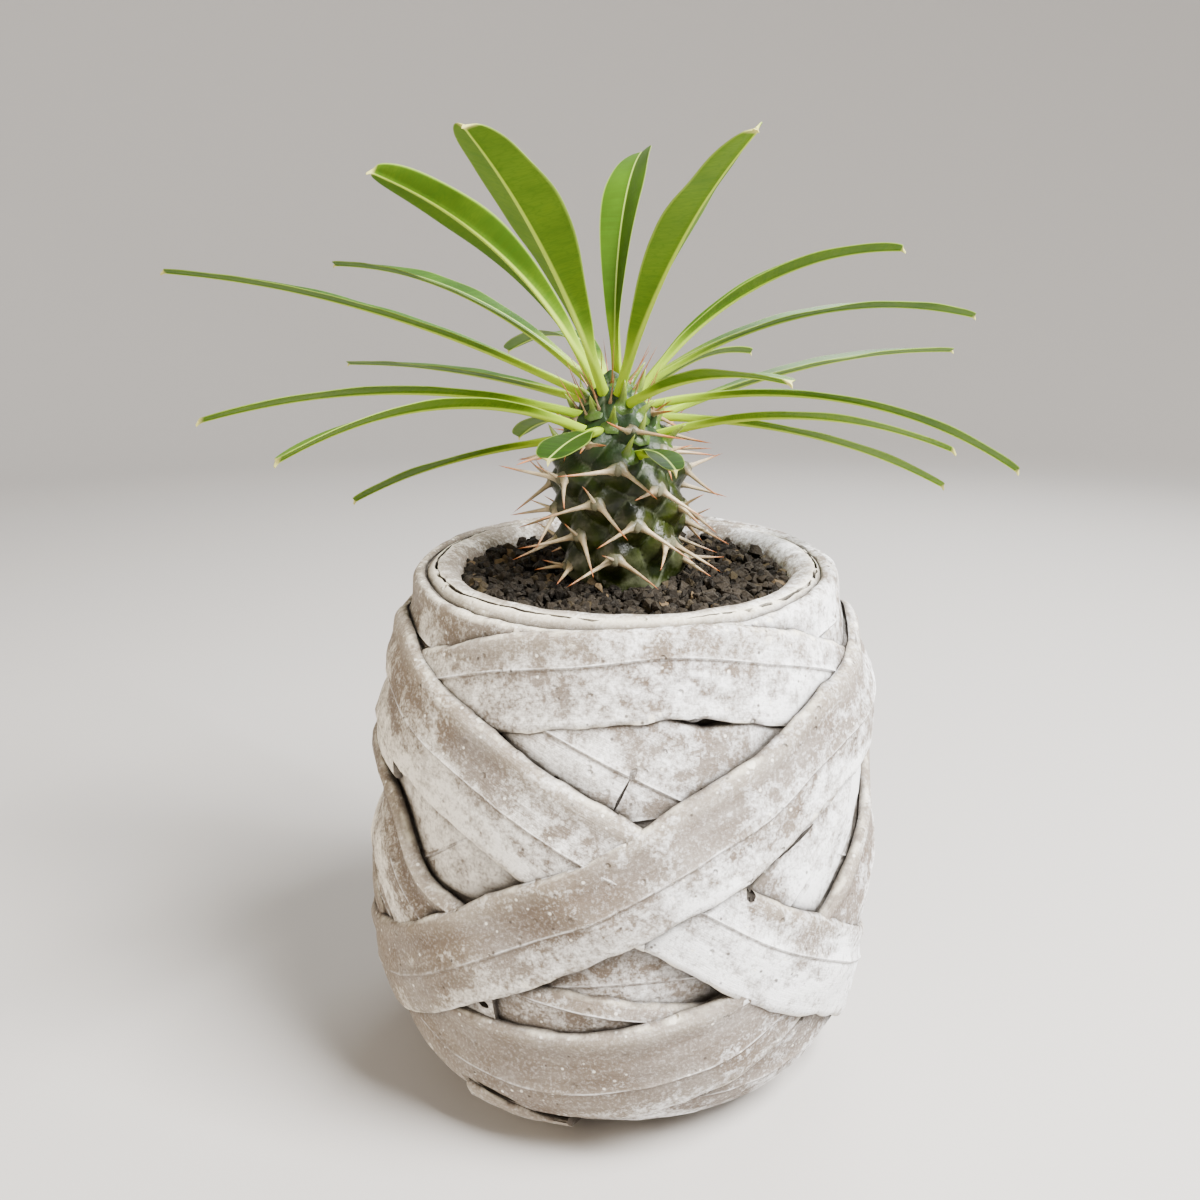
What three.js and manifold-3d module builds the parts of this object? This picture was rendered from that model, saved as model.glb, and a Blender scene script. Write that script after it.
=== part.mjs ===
// A young Madagascar palm (Pachypodium) in a cement pot cast from wound leaf straps.
// Millimetres, +Z up. The origin is the centre of the pot's flat underside and -Y is the front.
// Angles round the pot and plant are in degrees from the front, growing towards +X.

import * as THREE from 'three';
import Module from 'manifold-3d';

const wasm = await Module();
wasm.setup();

// ---------- driving dimensions ----------

const gap = 0.3; // clearance between pieces that rest on each other

// Pot: radius over the straps at each height, carried past both ends so that straps can be trimmed.
const potHeight = 132;
const wallHeights = [-14, 0, 4, 12, 24, 40, 56, 72, 90, 104, 116, 125, 130, 142];
const wallRadii = [22, 43, 50, 58, 62, 64.8, 65.4, 64.6, 63.4, 61.2, 58, 55, 53.2, 48];
const potSides = 40;
const coreDepth = 5.5; // the cast core lies this far inside the outermost strap
const strapRoot = 2.5; // straps reach this far into the core
const strapTop = 130.4; // straps are trimmed below the rim's crest
const strapRib = 0.8; // the midrib stands this far off the strap
const strapRound = 1.2; // how far the strap's edges fall away
const strapWave = [0.5, 0.3]; // slow and quick waves of the edges, so that no two straps look alike
const cavity = [[36, 10], [44, 16], [52, 34], [54, 56], [52.5, 80], [48, 102], [42, 118], [40.4, 127.5]];
const rimLip = [[43, -1.2], [45.4, 0], [47.6, 0], [48.8, -1.2]]; // [radius, height from the crest]
const coreHeights = [0, 3, 8, 16, 28, 44, 62, 80, 98, 112, 122, 128];

// Straps, deepest layer first. The middle of a strap lies at height + tilt * cos(angle - peak),
// width is measured up the wall, lift is how far it stands off the core, rib is where its midrib
// runs (0 is the lower edge, 1 the upper), and span gives the angles of a strap that ends.
const straps = [
  { height: 97, tilt: 22, peak: 165, width: 34, lift: 1.2, rib: 0.6 },
  { height: 45, tilt: 25, peak: 8, width: 32, lift: 1.2, rib: 0.5 },
  { height: 5, tilt: 3, peak: -50, width: 14, lift: 2.4, rib: 0.4 },
  { height: 122, tilt: 3, peak: 150, width: 22, lift: 3.2, rib: 0.5 },
  { height: 44, tilt: 50, peak: 125, width: 30, lift: 2.2, rib: 0.5, span: [48, 220] },
  { height: 100, tilt: 38, peak: -89, width: 40, lift: 2.6, rib: 0.52, span: [-40, 220] },
  { height: 51, tilt: 55, peak: -126, width: 30, lift: 3.2, rib: 0.6, span: [-220, -28] },
  { height: 69, tilt: 50, peak: 130, width: 30, lift: 3.3, rib: 0.5, span: [30, 225] },
  { height: 92.5, tilt: 29, peak: 4, width: 23, lift: 4, rib: 0.66 },
  { height: 27, tilt: 42, peak: -64, width: 7, lift: 3, rib: 0.7, span: [-35, 22] },
  { height: 58.6, tilt: 36, peak: 157, width: 30, lift: 4.4, rib: 0.42 },
  { height: 68, tilt: 35, peak: -110, width: 24, lift: 3.8, rib: 0.5, span: [-165, -67] },
  { height: 58.3, tilt: 42, peak: -65, width: 28, lift: 4.7, rib: 0.62 },
  { height: 77.5, tilt: 34, peak: -93, width: 28, lift: 4.6, rib: 0.36 },
  { height: 64, tilt: 38, peak: 74, width: 26, lift: 5.5, rib: 0.46 },
];

// Soil: it fills the cavity up to just under the rim, with a coarse gravelly top.
const soilTop = 128;
const soilSides = 44;
const soilRings = 7;
const grainHeight = 0.9;
const trunkHole = 13.6; // radius of the plain hole that the buried foot stands in

// Trunk: radius at each height, from the buried foot to the crown's tip, and its lean.
const trunkHeights = [106, 128, 133, 140, 150, 157, 161, 165, 169, 173, 176, 178];
const trunkRadii = [12.8, 13.3, 13, 13.4, 14.2, 13.8, 12.2, 10.4, 8.6, 6.3, 3.8, 0.8];
const trunkSides = 36;
const trunkRings = 24;
const trunkFoot = 106;
const crownTop = 178;
const lean = -0.07; // sideways drift per millimetre of height
const goldenAngle = 137.508;

// Tubercles: mounds in a golden-angle spiral, each with a pair of spines.
const tubercleCount = 36;
const tubercleTurn = 300; // where round the trunk the spiral starts
const tubercleStart = 132;
const tuberclePitch = 1.04;
const tubercleHeight = 3;
const tubercleReach = 6.4;
const spineLength = 15;
const spineRadius = 1.5;
const spineRoot = 2.5;
const spineClearance = 1.2;
const bristleCount = 16;
const bristleLength = 9;
const bristleRadius = 0.8;
const bristleClearance = 0.7;

// Leaves. seat is the height of the foot on the trunk, rise the angle above level at the foot,
// droop how much that angle falls by the tip, swing how far it turns sideways, roll its twist.
const leafTable = [
  { angle: -98, seat: 174, rise: 25, droop: 21, swing: 0, length: 108, width: 12.5, roll: 4 },
  { angle: -135, seat: 175.5, rise: 30, droop: 30, swing: 8, length: 104, width: 12, roll: 4 },
  { angle: -65, seat: 177, rise: 62, droop: 43, swing: 1, length: 70, width: 14, roll: 40 },
  { angle: -23, seat: 176, rise: 51, droop: 25, swing: 1, length: 82, width: 16.5, roll: -5 },
  { angle: -172, seat: 174.5, rise: 22, droop: 42, swing: 24, length: 91, width: 12, roll: 0 },
  { angle: -140, seat: 171, rise: 6, droop: 9, swing: 10, length: 104, width: 11.5, roll: 4 },
  { angle: -62, seat: 169.5, rise: 16, droop: 29, swing: 0, length: 87, width: 12, roll: 8 },
  { angle: -47, seat: 166.5, rise: 22, droop: 46, swing: -4, length: 79, width: 12, roll: 14 },
  { angle: -107, seat: 162, rise: -9, droop: 19, swing: 0, length: 61, width: 10, roll: 4 },
  { angle: -22, seat: 165.8, rise: 2, droop: 17, swing: 1, length: 27, width: 11, roll: 0 },
  { angle: -153, seat: 163.5, rise: 7, droop: 35, swing: 0, length: 47, width: 10, roll: 0 },
  { angle: 167, seat: 176.5, rise: 104, droop: 90, swing: 0, length: 69, width: 12.5, roll: -24 },
  { angle: 16, seat: 175.5, rise: 47, droop: 25, swing: 3, length: 88, width: 13, roll: 28 },
  { angle: 96, seat: 175, rise: 53, droop: 55, swing: 4, length: 74, width: 11, roll: -5 },
  { angle: 123, seat: 174.5, rise: 26, droop: 38, swing: -11, length: 111, width: 12.5, roll: -4 },
  { angle: 147, seat: 170.5, rise: 24, droop: 32, swing: -6, length: 59, width: 7, roll: -14 },
  { angle: 32, seat: 172.5, rise: 22, droop: 27, swing: 1, length: 56, width: 11, roll: -6 },
  { angle: 119, seat: 167.2, rise: 17, droop: 20, swing: 0, length: 99, width: 11.5, roll: -4 },
  { angle: 92, seat: 171, rise: 11, droop: 45, swing: 0, length: 95, width: 12.5, roll: -5 },
  { angle: 72, seat: 164.8, rise: 17, droop: 38, swing: 0, length: 68, width: 10.5, roll: -10 },
  { angle: 98, seat: 167.8, rise: -2, droop: 26, swing: 0, length: 77, width: 11.5, roll: -5 },
  { angle: 25, seat: 161, rise: 14, droop: 43, swing: -1, length: 17, width: 8, roll: 0 },
];
const leafSteps = 12;
const petioleHalf = 1.25; // half the width of the leaf stalk
const tipHalf = 0.4; // half the width at the very tip
const bladeThickness = 0.75;
const foldAtFoot = 36; // how far each half of the blade folds up, in degrees
const foldAtTip = 18;
const ribAtFoot = 2; // depth of the midrib under the blade
const ribAtTip = 0.9;
const tipHook = 2; // length of the hooked point
const seatOut = 2.4; // the leaf's foot stands this far off the trunk
const seatRadius = 1.6;
const seatDepth = 5; // the seat's stub is sunk this far into the trunk

// ---------- helpers ----------

const radians = THREE.MathUtils.degToRad;
const { lerp } = THREE.MathUtils;

function curveOf(places, values) {
  const interpolant = new THREE.CubicInterpolant(places, values, 1);
  return (place) => interpolant.evaluate(place)[0];
}

// A seeded random number between 0 and 1 for each whole number, the same on every run.
function scatter(index, salt) {
  const wave = Math.sin(index * 12.9898 + salt * 78.233) * 43758.5453;
  return wave - Math.floor(wave);
}

function outward(angle) {
  return new THREE.Vector3(Math.sin(radians(angle)), -Math.cos(radians(angle)), 0);
}

// Skins a row of rings of equal length. Quads in the second half of each ring are split the other
// way, so that the two faces of a thin blade match. Open rows are closed by a ladder of quads.
function loft(rings, closed) {
  const count = rings[0].length;
  const index = [];
  const last = closed ? rings.length : rings.length - 1;
  for (let i = 0; i < last; i += 1) {
    const here = i * count;
    const next = ((i + 1) % rings.length) * count;
    for (let j = 0; j < count; j += 1) {
      const k = (j + 1) % count;
      const [a, b, c, d] = [here + j, here + k, next + k, next + j];
      if (j < count / 2) index.push(a, b, c, a, c, d);
      else index.push(a, b, d, b, c, d);
    }
  }
  if (!closed) {
    const end = (rings.length - 1) * count;
    for (let j = 0; j < count / 2 - 1; j += 1) {
      const [a, b, c, d] = [j, j + 1, count - 2 - j, count - 1 - j];
      index.push(a, c, b, a, d, c);
      index.push(end + a, end + b, end + c, end + a, end + c, end + d);
    }
  }
  const geometry = new THREE.BufferGeometry().setFromPoints(rings.flat());
  return geometry.setIndex(index);
}

// Merges a geometry's shared vertices by place and hands it to the solid library.
function solidOf(geometry) {
  const position = geometry.getAttribute('position');
  const index = geometry.getIndex();
  const cornerCount = index ? index.count : position.count;
  const seen = new Map();
  const points = [];
  const corners = [];
  for (let i = 0; i < cornerCount; i += 1) {
    const v = index ? index.getX(i) : i;
    const place = [position.getX(v), position.getY(v), position.getZ(v)];
    const key = place.map((value) => Math.round(value * 1e4)).join();
    if (!seen.has(key)) {
      seen.set(key, points.length / 3);
      points.push(...place);
    }
    corners.push(seen.get(key));
  }
  const kept = [];
  for (let i = 0; i < corners.length; i += 3) {
    const [a, b, c] = corners.slice(i, i + 3);
    if (a !== b && b !== c && c !== a) kept.push(a, b, c);
  }
  return new wasm.Manifold(new wasm.Mesh({
    numProp: 3,
    vertProperties: new Float32Array(points),
    triVerts: new Uint32Array(kept),
  }));
}

function geometryOf(solid) {
  const mesh = solid.getMesh();
  const geometry = new THREE.BufferGeometry();
  geometry.setAttribute('position', new THREE.BufferAttribute(mesh.vertProperties, mesh.numProp));
  geometry.setIndex(new THREE.BufferAttribute(mesh.triVerts, 1));
  return geometry;
}

// A turned body about Z from [radius, height] pairs that start and end on the axis.
function turned(profile, sides) {
  const points = profile.map(([radius, height]) => new THREE.Vector2(radius, height));
  return new THREE.LatheGeometry(points, sides).rotateX(Math.PI / 2);
}

// A cone or rod from one point to another.
function rod(from, to, fromRadius, toRadius, sides) {
  const along = to.clone().sub(from);
  const geometry = toRadius > 0
    ? new THREE.CylinderGeometry(toRadius, fromRadius, along.length(), sides)
    : new THREE.ConeGeometry(fromRadius, along.length(), sides);
  const turn = new THREE.Quaternion().setFromUnitVectors(
    new THREE.Vector3(0, 1, 0),
    along.clone().normalize(),
  );
  const middle = from.clone().lerp(to, 0.5);
  return geometry.applyQuaternion(turn).translate(middle.x, middle.y, middle.z);
}

const finish = (color, roughness) => new THREE.MeshStandardMaterial({ color, roughness, metalness: 0 });
const materials = {
  cement: finish(0xbfb6b0, 0.92),
  gravel: finish(0x4a4440, 0.95),
  trunk: finish(0x4d5a36, 0.55),
  leaf: finish(0x5c9622, 0.4),
};

function piece(name, geometry, material) {
  geometry.computeVertexNormals();
  const mesh = new THREE.Mesh(geometry, material);
  mesh.name = name;
  return mesh;
}

// ---------- pot ----------

const wallRadius = curveOf(wallHeights, wallRadii);

function strapSolid(strap) {
  const { height, tilt, peak, width, lift, rib, span } = strap;
  const edge = lift - strapRound;
  const section = [ // [share of the width from the lower edge, height off the core]
    [1, edge], [0.93, lift], [rib, lift + strapRib], [0.07, lift], [0, edge],
    [0, -strapRoot], [0.5, -strapRoot], [1, -strapRoot],
  ];
  const step = 360 / potSides;
  const steps = span ? Math.round((span[1] - span[0]) / step) : potSides;
  const rings = [];
  for (let i = 0; i < (span ? steps + 1 : steps); i += 1) {
    const angle = (span ? span[0] : 0) + i * step;
    const wave = strapWave[0] * Math.sin(radians(5 * angle + 3 * peak))
      + strapWave[1] * Math.sin(radians(9 * angle));
    const low = height - width / 2 + wave + tilt * Math.cos(radians(angle - peak));
    rings.push(section.map(([across, off]) => {
      const z = low + across * width;
      const radius = wallRadius(z) - coreDepth + off;
      return outward(angle).multiplyScalar(radius).setZ(z);
    }));
  }
  return solidOf(loft(rings, !span));
}

function makePot() {
  const core = coreHeights.map((height) => [wallRadius(height) - coreDepth, height]);
  const lip = rimLip.map(([radius, height]) => [radius, potHeight + height]);
  const profile = [
    [0, 0], ...core, ...lip.toReversed(), ...cavity.toReversed(), [0, cavity[0][1]],
  ];
  const body = solidOf(turned(profile, potSides));
  const trim = new THREE.CylinderGeometry(90, 90, strapTop, 12).rotateX(Math.PI / 2);
  trim.translate(0, 0, strapTop / 2);
  const wound = wasm.Manifold.union(straps.map(strapSolid)).intersect(solidOf(trim));
  return piece('pot', geometryOf(body.add(wound)), materials.cement);
}

// ---------- soil ----------

function makeSoil() {
  const side = cavity.map(([radius, height]) => [radius - gap, height + (height === cavity[0][1] ? gap : 0)]);
  const rim = side.at(-1)[0];
  const top = Array.from({ length: soilRings }, (_, i) => [
    lerp(rim, trunkHole, (i + 1) / soilRings), soilTop,
  ]);
  const profile = [
    [0, cavity[0][1] + gap], ...side, ...top,
    [trunkHole, trunkFoot - gap], [0, trunkFoot - gap],
  ];
  const geometry = turned(profile, soilSides);
  const position = geometry.getAttribute('position');
  for (let i = 0; i < position.count; i += 1) {
    const [x, y, z] = [position.getX(i), position.getY(i), position.getZ(i)];
    const reach = Math.hypot(x, y);
    if (z > soilTop - 0.1 && reach > trunkHole + 1) {
      const cell = Math.round(x * 3) * 31 + Math.round(y * 3);
      position.setZ(i, soilTop + grainHeight * (2 * scatter(cell, 3) - 0.8));
    }
  }
  return piece('soil', geometryOf(solidOf(geometry)), materials.gravel);
}

// ---------- leaves ----------

const trunkRadius = curveOf(trunkHeights, trunkRadii);
const axisAt = (z) => new THREE.Vector3(lean * (z - soilTop), 0, z);

// The leaf's centre line: a list of points with the direction along the leaf at each.
function centreLine(leaf) {
  const fine = leafSteps * 2;
  const point = axisAt(leaf.seat);
  point.addScaledVector(outward(leaf.angle), trunkRadius(leaf.seat) + seatOut);
  const line = [];
  for (let i = 0; i <= fine; i += 1) {
    const t = i / fine;
    const rise = radians(leaf.rise - leaf.droop * t);
    const heading = leaf.angle + leaf.swing * t;
    const along = outward(heading).multiplyScalar(Math.cos(rise)).setZ(Math.sin(rise));
    const side = new THREE.Vector3(Math.cos(radians(heading)), Math.sin(radians(heading)), 0);
    line.push({ t, point: point.clone(), along, side });
    point.addScaledVector(along, leaf.length / fine);
  }
  return line;
}

function halfWidth(leaf, t) {
  const swell = Math.sin(Math.PI * t ** 1.8) ** 0.75;
  return petioleHalf * (1 - 0.55 * t) + (leaf.width / 2 - 0.7) * swell;
}

function bladeRing(leaf, station, half) {
  const { t, point, along, side } = station;
  const up = new THREE.Vector3().crossVectors(along, side);
  const roll = radians(leaf.roll);
  const across = side.clone().multiplyScalar(Math.cos(roll)).addScaledVector(up, Math.sin(roll));
  const normal = up.multiplyScalar(Math.cos(roll)).addScaledVector(side, -Math.sin(roll));
  const fold = radians(lerp(foldAtFoot, foldAtTip, t));
  const tipHeight = half * Math.sin(fold);
  const reach = half * Math.cos(fold);
  const ribDepth = lerp(ribAtFoot, ribAtTip, Math.min(1, t * 1.4));
  const outline = [
    [reach, tipHeight], [0, 0], [-reach, tipHeight],
    [-reach, tipHeight - bladeThickness], [0, -ribDepth], [reach, tipHeight - bladeThickness],
  ];
  return outline.map(([x, y]) => point.clone().addScaledVector(across, x).addScaledVector(normal, y));
}

function makeLeaf(leaf, index) {
  const stations = centreLine(leaf).filter((_, i) => i % 2 === 0);
  const rings = stations.map((station) => bladeRing(leaf, station, halfWidth(leaf, station.t)));
  const end = stations.at(-1);
  const up = new THREE.Vector3().crossVectors(end.along, end.side);
  const hooked = end.along.clone().addScaledVector(up, -0.9).normalize();
  const tip = { ...end, along: hooked, point: end.point.clone().addScaledVector(hooked, tipHook) };
  rings.push(bladeRing(leaf, tip, tipHalf));
  const name = `leaf_${String(index + 1).padStart(2, '0')}`;
  return piece(name, loft(rings, false), materials.leaf);
}

// ---------- trunk, with its tubercles, spines and leaf seats ----------

const tubercles = Array.from({ length: tubercleCount }, (_, k) => {
  const z = tubercleStart + k * tuberclePitch;
  const size = THREE.MathUtils.clamp((crownTop - z) / 20, 0.55, 1);
  return { angle: tubercleTurn + k * goldenAngle, z, size };
});

function relief(angle, z) {
  let height = 0;
  for (const mound of tubercles) {
    const turn = THREE.MathUtils.euclideanModulo(angle - mound.angle + 180, 360) - 180;
    const dx = radians(turn) * trunkRadius(z);
    const distance = Math.hypot(dx, z - mound.z) / (tubercleReach * mound.size);
    if (distance < 1) {
      height = Math.max(height, tubercleHeight * mound.size * Math.cos(distance * Math.PI / 2) ** 1.5);
    }
  }
  return height;
}

function trunkSurface(angle, z) {
  const radius = trunkRadius(z) + relief(angle, z);
  return axisAt(z).addScaledVector(outward(angle), radius);
}

function trunkBody() {
  const rings = [];
  const heights = [trunkFoot];
  for (let i = 0; i <= trunkRings; i += 1) heights.push(lerp(soilTop, crownTop, i / trunkRings));
  for (const z of heights) {
    const ring = [];
    for (let i = 0; i < trunkSides; i += 1) {
      const angle = (i * 360) / trunkSides;
      ring.push(z > soilTop ? trunkSurface(angle, z)
        : outward(angle).multiplyScalar(trunkRadius(z)).add(axisAt(soilTop)).setZ(z));
    }
    rings.push(ring);
  }
  return solidOf(loft(rings, false));
}

const leafLines = leafTable.map((leaf) => ({ leaf, line: centreLine(leaf) }));

// True where a point keeps clear of every leaf.
function clearOfLeaves(point, clearance) {
  return leafLines.every(({ leaf, line }) => line.every((station) => (
    station.point.distanceTo(point) > halfWidth(leaf, station.t) + clearance
  )));
}

// A spine is left out where it would run into a leaf.
function spine(from, towards, length, radius, clearance = spineClearance) {
  const direction = towards.clone().normalize();
  const tip = from.clone().addScaledVector(direction, length);
  tip.z = Math.max(tip.z, soilTop + 2 * grainHeight + 1);
  const root = from.clone().addScaledVector(direction, -spineRoot);
  for (let i = 1; i <= 8; i += 1) {
    if (!clearOfLeaves(from.clone().lerp(tip, i / 8), clearance)) return [];
  }
  return [solidOf(rod(root, tip, radius, 0, 3))];
}

function spinePairs() {
  return tubercles.flatMap(({ angle, z, size }, k) => {
    const from = trunkSurface(angle, z);
    const normal = outward(angle);
    const tangent = outward(angle + 90);
    const tilt = lerp(-0.75, 0.35, k / tubercleCount);
    return [-1, 1].flatMap((sign) => {
      const random = scatter(k, sign + 2);
      const towards = normal.clone().multiplyScalar(0.8);
      towards.addScaledVector(tangent, sign * (0.75 + 0.3 * random));
      towards.z = tilt + 0.5 * (random - 0.5);
      const length = spineLength * lerp(0.8, 1, size) * (0.88 + 0.24 * random);
      return spine(from, towards, length, spineRadius * lerp(0.7, 1, size));
    });
  });
}

// Thin young spines stand up between the leaves at the crown.
function bristles() {
  return Array.from({ length: bristleCount }, (_, k) => {
    const angle = k * goldenAngle + 40;
    const z = lerp(170, crownTop - 1, k / bristleCount);
    const towards = outward(angle).multiplyScalar(0.5).setZ(1);
    const length = bristleLength * (1 + 0.5 * scatter(k, 9));
    return spine(trunkSurface(angle, z), towards, length, bristleRadius, bristleClearance);
  }).flat();
}

function leafSeats() {
  return leafLines.map(({ line }) => {
    const { point, along } = line[0];
    const face = point.clone().addScaledVector(along, -gap);
    const root = face.clone().addScaledVector(along, -seatDepth);
    return solidOf(rod(root, face, seatRadius * 1.3, seatRadius, 6));
  });
}

function makeTrunk() {
  const parts = [trunkBody(), ...leafSeats(), ...spinePairs(), ...bristles()];
  return piece('trunk', geometryOf(wasm.Manifold.union(parts)), materials.trunk);
}

// ---------- the whole plant in its pot ----------

const pottedPalm = new THREE.Group();
pottedPalm.add(makePot(), makeSoil(), makeTrunk(), ...leafTable.map(makeLeaf));

export default pottedPalm;
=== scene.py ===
import math
import random

import bmesh
import bpy
import numpy as np
from mathutils import Matrix, Vector, noise


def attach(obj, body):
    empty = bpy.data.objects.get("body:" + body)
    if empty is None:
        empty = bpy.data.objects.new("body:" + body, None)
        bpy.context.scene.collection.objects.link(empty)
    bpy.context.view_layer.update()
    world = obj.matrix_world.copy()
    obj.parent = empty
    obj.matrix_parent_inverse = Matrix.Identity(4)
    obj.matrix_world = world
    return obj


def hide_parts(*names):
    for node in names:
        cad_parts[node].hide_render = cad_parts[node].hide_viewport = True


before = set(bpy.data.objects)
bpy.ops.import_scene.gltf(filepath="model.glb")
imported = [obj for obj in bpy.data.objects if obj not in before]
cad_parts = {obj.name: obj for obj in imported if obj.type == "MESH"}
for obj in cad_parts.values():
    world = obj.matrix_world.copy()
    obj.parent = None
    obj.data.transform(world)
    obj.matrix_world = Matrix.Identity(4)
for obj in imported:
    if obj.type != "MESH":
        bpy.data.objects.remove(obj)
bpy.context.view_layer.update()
scene = bpy.context.scene
mm = 0.001
goldenAngle = 137.508

studio = {
    "cameraPlace": (-6.1, -293, 204),
    "cameraPitch": -15.8,
    "lens": 36.06,
    "floorColour": (0.44, 0.42, 0.40),
    "floorRoughness": 0.85,
    "worldColour": (0.93, 0.92, 0.90),
    "worldStrength": 0.52,
    "coveStart": 1000,  # at this radius the floor bends up into a round wall
    "coveRadius": 600,
    "coveTop": 1300,
    "lights": [  # place, what it points at, size, power in watts, colour
        ((480, -330, 820), (0, 0, 110), 420, 54, (1.0, 0.99, 0.975)),
        ((-700, -500, 450), (0, 0, 100), 600, 5.5, (1.0, 0.84, 0.64)),
        ((300, 650, 600), (0, 0, 150), 500, 6, (0.93, 0.97, 1.0)),
    ],
}


def addObject(name, data):
    made = bpy.data.objects.new(name, data)
    scene.collection.objects.link(made)
    return made


def makeStudio():
    data = bpy.data.cameras.new("camera")
    data.lens = studio["lens"]
    data.sensor_width = 36
    data.clip_start = 0.01
    camera = addObject("camera", data)
    camera.location = Vector(studio["cameraPlace"]) * mm
    camera.rotation_euler = (math.radians(90 + studio["cameraPitch"]), 0, 0)
    scene.camera = camera
    for i, (place, target, size, power, colour) in enumerate(studio["lights"]):
        lamp = bpy.data.lights.new(f"softLight{i}", "AREA")
        lamp.size = size * mm
        lamp.energy = power
        lamp.color = colour
        light = addObject(f"softLight{i}", lamp)
        light.location = Vector(place) * mm
        aim = (Vector(target) - Vector(place)).normalized()
        light.rotation_euler = aim.to_track_quat("-Z", "Y").to_euler()
    world = bpy.data.worlds.new("paleRoom")
    world.use_nodes = True
    background = world.node_tree.nodes["Background"]
    background.inputs["Color"].default_value = (*studio["worldColour"], 1)
    background.inputs["Strength"].default_value = studio["worldStrength"]
    scene.world = world
    start, radius = studio["coveStart"], studio["coveRadius"]
    turns = np.linspace(0, math.pi / 2, 20)
    curve = [(start + radius * math.sin(a), radius * (1 - math.cos(a))) for a in turns]
    points = [(0, 0)] + curve + [(start + radius, studio["coveTop"])]
    mesh = turnedMesh("floor", points, 120, False)
    shadeSmooth(mesh, 30)
    paint = bpy.data.materials.new("paleFloor")
    paint.use_nodes = True
    sockets = paint.node_tree.nodes["Principled BSDF"].inputs
    sockets["Base Color"].default_value = (*studio["floorColour"], 1)
    sockets["Roughness"].default_value = studio["floorRoughness"]
    mesh.materials.append(paint)
    addObject("floor", mesh)


# Small tools that the pieces share.

def smoothCurve(places, values):  # a smooth function through some points
    places = np.array(places, float)
    values = np.array(values, float)
    slopes = np.gradient(values, places)

    def curve(x):
        i = np.clip(np.searchsorted(places, x) - 1, 0, len(places) - 2)
        span = places[i + 1] - places[i]
        t = np.clip((x - places[i]) / span, 0, 1)
        rise = values[i] * (1 + 2 * t) * (1 - t) ** 2 + values[i + 1] * t * t * (3 - 2 * t)
        return rise + span * (slopes[i] * t * (1 - t) ** 2 + slopes[i + 1] * t * t * (t - 1))

    return curve


def scatter(index, salt):  # a seeded random number from 0 to 1
    return math.sin(index * 12.9898 + salt * 78.233) * 43758.5453 % 1


def blend(a, b, share):
    return a + (b - a) * share


def fadeIn(value, low, high):
    t = np.clip((value - low) / (high - low), 0, 1)
    return t * t * (3 - 2 * t)


def hump(value, reach):  # 1 at zero, with a smooth fall to either side
    return np.exp(-(value / reach) ** 2)


def wrap(angle):  # to between -180 and 180
    return (angle + 180) % 360 - 180


def outward(angle):
    return Vector((math.sin(math.radians(angle)), -math.cos(math.radians(angle)), 0))


def anglesOf(places):
    return np.degrees(np.arctan2(places[:, 0], -places[:, 1]))


def radiiOf(places):
    return np.hypot(places[:, 0], places[:, 1])


def getNumbers(items, what):
    found = np.empty(len(items), int)
    items.foreach_get(what, found)
    return found


def getVectors(items, what):
    flat = np.empty(len(items) * 3)
    items.foreach_get(what, flat)
    return flat.reshape(-1, 3)


def getPlaces(mesh):
    return getVectors(mesh.vertices, "co") / mm


def setPlaces(mesh, places):
    mesh.vertices.foreach_set("co", (places * mm).ravel())
    mesh.update()


def setAttribute(mesh, name, values):
    attribute = mesh.attributes.new(name, "FLOAT", "POINT")
    attribute.data.foreach_set("value", np.asarray(values, np.float32))


def setMap(mesh, name, across, along):  # one value for each face corner
    layer = mesh.uv_layers.new(name=name)
    layer.data.foreach_set("uv", np.stack([across, along], 1).ravel().astype(np.float32))


def makeMesh(name, form):
    mesh = bpy.data.meshes.new(name)
    form.to_mesh(mesh)
    form.free()
    return mesh


def addCopy(form, mesh, pose):  # adds a placed copy of a mesh to a form
    copy = mesh.copy()
    copy.transform(pose)
    form.from_mesh(copy)
    bpy.data.meshes.remove(copy)


def spinProfile(form, points, angle, steps, closed):  # turns (radius, height) points about Z
    corners = [form.verts.new((x, 0, z)) for x, z in points]
    for here, there in zip(corners, corners[1:] + corners[:1] if closed else corners[1:]):
        form.edges.new((here, there))
    bmesh.ops.spin(
        form, geom=form.verts[:] + form.edges[:], cent=(0, 0, 0), axis=(0, 0, 1),
        angle=math.radians(angle), steps=steps, use_merge=angle >= 360, use_duplicate=False)


def closeForm(form, reach):
    bmesh.ops.remove_doubles(form, verts=form.verts, dist=reach)
    bmesh.ops.recalc_face_normals(form, faces=form.faces)


def turnedMesh(name, points, steps, closed=True):  # from points in millimetres
    form = bmesh.new()
    spinProfile(form, [(x * mm, z * mm) for x, z in points], 360, steps, closed)
    closeForm(form, 1e-6)
    return makeMesh(name, form)


def shadeSmooth(mesh, limit):
    mesh.polygons.foreach_set("use_smooth", [True] * len(mesh.polygons))
    mesh.set_sharp_from_angle(angle=math.radians(limit))


def finishPiece(piece, material, slot, *nodes):
    piece.data.materials.clear()
    piece.data.materials.append(material)
    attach(piece, "root")
    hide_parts(*nodes)


def feed(node, inputs):  # each value is another node's output, or a plain setting
    for key, value in inputs.items():
        if isinstance(value, bpy.types.NodeSocket):
            tree.links.new(value, node.inputs[key])
        else:
            node.inputs[key].default_value = value


def addNode(kind, inputs=None, **settings):  # adds to the material that was started last
    made = tree.nodes.new("ShaderNode" + kind)
    for key, value in settings.items():
        setattr(made, key, value)
    feed(made, inputs or {})
    return made


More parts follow.
